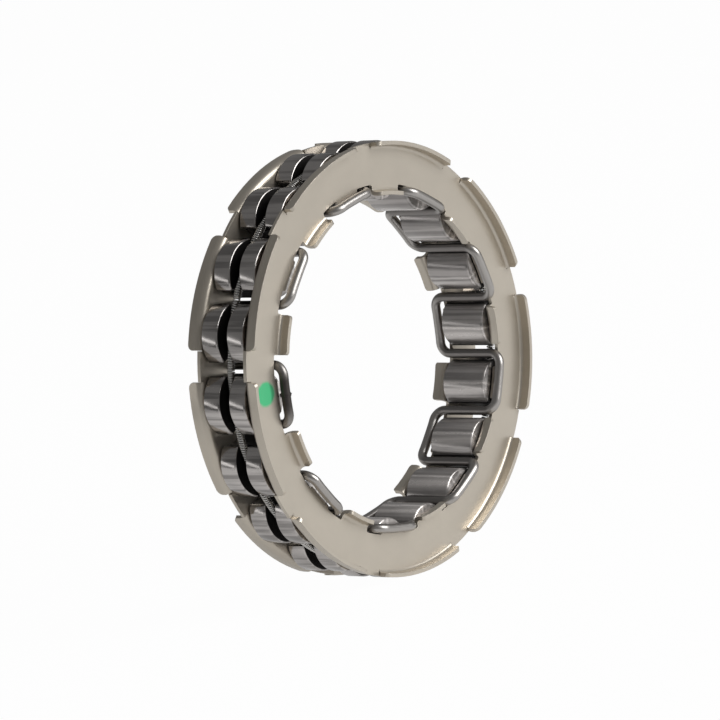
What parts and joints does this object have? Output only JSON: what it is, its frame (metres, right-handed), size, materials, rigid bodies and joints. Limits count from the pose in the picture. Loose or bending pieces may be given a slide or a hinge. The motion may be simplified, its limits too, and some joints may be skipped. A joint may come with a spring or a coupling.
{
  "type": "one-way bearing",
  "caption": "Caged sprag ring: tilting sprags between two flanged side plates, spaced by a bent wire and pressed by a garter spring, grip a shaft one way only.",
  "frame": {"origin": "on the ring's axis, at half of its width", "axes": "+Z along the ring's axis, out of the front side plate; +X through the middle of the first sprag"},
  "size_m": [0.0838, 0.0833, 0.0164],
  "materials": {
    "plate_steel": "satin",
    "wire_steel": "drawn",
    "spring_steel": "bright",
    "sprag_steel": "polished"
  },
  "bodies": {
    "cage": {"front_side_plate": "plate_steel", "back_side_plate": "plate_steel", "separator_wire": "wire_steel", "garter_spring": "spring_steel"},
    "sprag_01": {"sprag_01": "sprag_steel"},
    "sprag_02": {"sprag_02": "sprag_steel"},
    "sprag_03": {"sprag_03": "sprag_steel"},
    "sprag_04": {"sprag_04": "sprag_steel"},
    "sprag_05": {"sprag_05": "sprag_steel"},
    "sprag_06": {"sprag_06": "sprag_steel"},
    "sprag_07": {"sprag_07": "sprag_steel"},
    "sprag_08": {"sprag_08": "sprag_steel"},
    "sprag_09": {"sprag_09": "sprag_steel"},
    "sprag_10": {"sprag_10": "sprag_steel"},
    "sprag_11": {"sprag_11": "sprag_steel"},
    "sprag_12": {"sprag_12": "sprag_steel"},
    "sprag_13": {"sprag_13": "sprag_steel"},
    "sprag_14": {"sprag_14": "sprag_steel"},
    "sprag_15": {"sprag_15": "sprag_steel"},
    "sprag_16": {"sprag_16": "sprag_steel"},
    "sprag_17": {"sprag_17": "sprag_steel"},
    "sprag_18": {"sprag_18": "sprag_steel"}
  },
  "joints": [
    {"name": "sprag_01_tilt", "type": "hinge", "parent": "cage", "child": "sprag_01", "pos_m": [0.0354, 0, 0], "axis": [0, 0, 1], "range_deg": [-4, 6], "stiffness_Nm_per_rad": 0.03},
    {"name": "sprag_02_tilt", "type": "hinge", "parent": "cage", "child": "sprag_02", "pos_m": [0.03327, 0.01211, 0], "axis": [0, 0, 1], "range_deg": [-4, 6], "stiffness_Nm_per_rad": 0.03},
    {"name": "sprag_03_tilt", "type": "hinge", "parent": "cage", "child": "sprag_03", "pos_m": [0.02712, 0.02275, 0], "axis": [0, 0, 1], "range_deg": [-4, 6], "stiffness_Nm_per_rad": 0.03},
    {"name": "sprag_04_tilt", "type": "hinge", "parent": "cage", "child": "sprag_04", "pos_m": [0.0177, 0.03066, 0], "axis": [0, 0, 1], "range_deg": [-4, 6], "stiffness_Nm_per_rad": 0.03},
    {"name": "sprag_05_tilt", "type": "hinge", "parent": "cage", "child": "sprag_05", "pos_m": [0.00615, 0.03486, 0], "axis": [0, 0, 1], "range_deg": [-4, 6], "stiffness_Nm_per_rad": 0.03},
    {"name": "sprag_06_tilt", "type": "hinge", "parent": "cage", "child": "sprag_06", "pos_m": [-0.00615, 0.03486, 0], "axis": [0, 0, 1], "range_deg": [-4, 6], "stiffness_Nm_per_rad": 0.03},
    {"name": "sprag_07_tilt", "type": "hinge", "parent": "cage", "child": "sprag_07", "pos_m": [-0.0177, 0.03066, 0], "axis": [0, 0, 1], "range_deg": [-4, 6], "stiffness_Nm_per_rad": 0.03},
    {"name": "sprag_08_tilt", "type": "hinge", "parent": "cage", "child": "sprag_08", "pos_m": [-0.02712, 0.02275, 0], "axis": [0, 0, 1], "range_deg": [-4, 6], "stiffness_Nm_per_rad": 0.03},
    {"name": "sprag_09_tilt", "type": "hinge", "parent": "cage", "child": "sprag_09", "pos_m": [-0.03327, 0.01211, 0], "axis": [0, 0, 1], "range_deg": [-4, 6], "stiffness_Nm_per_rad": 0.03},
    {"name": "sprag_10_tilt", "type": "hinge", "parent": "cage", "child": "sprag_10", "pos_m": [-0.0354, 0, 0], "axis": [0, 0, 1], "range_deg": [-4, 6], "stiffness_Nm_per_rad": 0.03},
    {"name": "sprag_11_tilt", "type": "hinge", "parent": "cage", "child": "sprag_11", "pos_m": [-0.03327, -0.01211, 0], "axis": [0, 0, 1], "range_deg": [-4, 6], "stiffness_Nm_per_rad": 0.03},
    {"name": "sprag_12_tilt", "type": "hinge", "parent": "cage", "child": "sprag_12", "pos_m": [-0.02712, -0.02275, 0], "axis": [0, 0, 1], "range_deg": [-4, 6], "stiffness_Nm_per_rad": 0.03},
    {"name": "sprag_13_tilt", "type": "hinge", "parent": "cage", "child": "sprag_13", "pos_m": [-0.0177, -0.03066, 0], "axis": [0, 0, 1], "range_deg": [-4, 6], "stiffness_Nm_per_rad": 0.03},
    {"name": "sprag_14_tilt", "type": "hinge", "parent": "cage", "child": "sprag_14", "pos_m": [-0.00615, -0.03486, 0], "axis": [0, 0, 1], "range_deg": [-4, 6], "stiffness_Nm_per_rad": 0.03},
    {"name": "sprag_15_tilt", "type": "hinge", "parent": "cage", "child": "sprag_15", "pos_m": [0.00615, -0.03486, 0], "axis": [0, 0, 1], "range_deg": [-4, 6], "stiffness_Nm_per_rad": 0.03},
    {"name": "sprag_16_tilt", "type": "hinge", "parent": "cage", "child": "sprag_16", "pos_m": [0.0177, -0.03066, 0], "axis": [0, 0, 1], "range_deg": [-4, 6], "stiffness_Nm_per_rad": 0.03},
    {"name": "sprag_17_tilt", "type": "hinge", "parent": "cage", "child": "sprag_17", "pos_m": [0.02712, -0.02275, 0], "axis": [0, 0, 1], "range_deg": [-4, 6], "stiffness_Nm_per_rad": 0.03},
    {"name": "sprag_18_tilt", "type": "hinge", "parent": "cage", "child": "sprag_18", "pos_m": [0.03327, -0.01211, 0], "axis": [0, 0, 1], "range_deg": [-4, 6], "stiffness_Nm_per_rad": 0.03}
  ],
  "couplings": [
    {"joint": "sprag_02_tilt", "follows": "sprag_01_tilt", "ratio": 1},
    {"joint": "sprag_03_tilt", "follows": "sprag_01_tilt", "ratio": 1},
    {"joint": "sprag_04_tilt", "follows": "sprag_01_tilt", "ratio": 1},
    {"joint": "sprag_05_tilt", "follows": "sprag_01_tilt", "ratio": 1},
    {"joint": "sprag_06_tilt", "follows": "sprag_01_tilt", "ratio": 1},
    {"joint": "sprag_07_tilt", "follows": "sprag_01_tilt", "ratio": 1},
    {"joint": "sprag_08_tilt", "follows": "sprag_01_tilt", "ratio": 1},
    {"joint": "sprag_09_tilt", "follows": "sprag_01_tilt", "ratio": 1},
    {"joint": "sprag_10_tilt", "follows": "sprag_01_tilt", "ratio": 1},
    {"joint": "sprag_11_tilt", "follows": "sprag_01_tilt", "ratio": 1},
    {"joint": "sprag_12_tilt", "follows": "sprag_01_tilt", "ratio": 1},
    {"joint": "sprag_13_tilt", "follows": "sprag_01_tilt", "ratio": 1},
    {"joint": "sprag_14_tilt", "follows": "sprag_01_tilt", "ratio": 1},
    {"joint": "sprag_15_tilt", "follows": "sprag_01_tilt", "ratio": 1},
    {"joint": "sprag_16_tilt", "follows": "sprag_01_tilt", "ratio": 1},
    {"joint": "sprag_17_tilt", "follows": "sprag_01_tilt", "ratio": 1},
    {"joint": "sprag_18_tilt", "follows": "sprag_01_tilt", "ratio": 1}
  ]
}
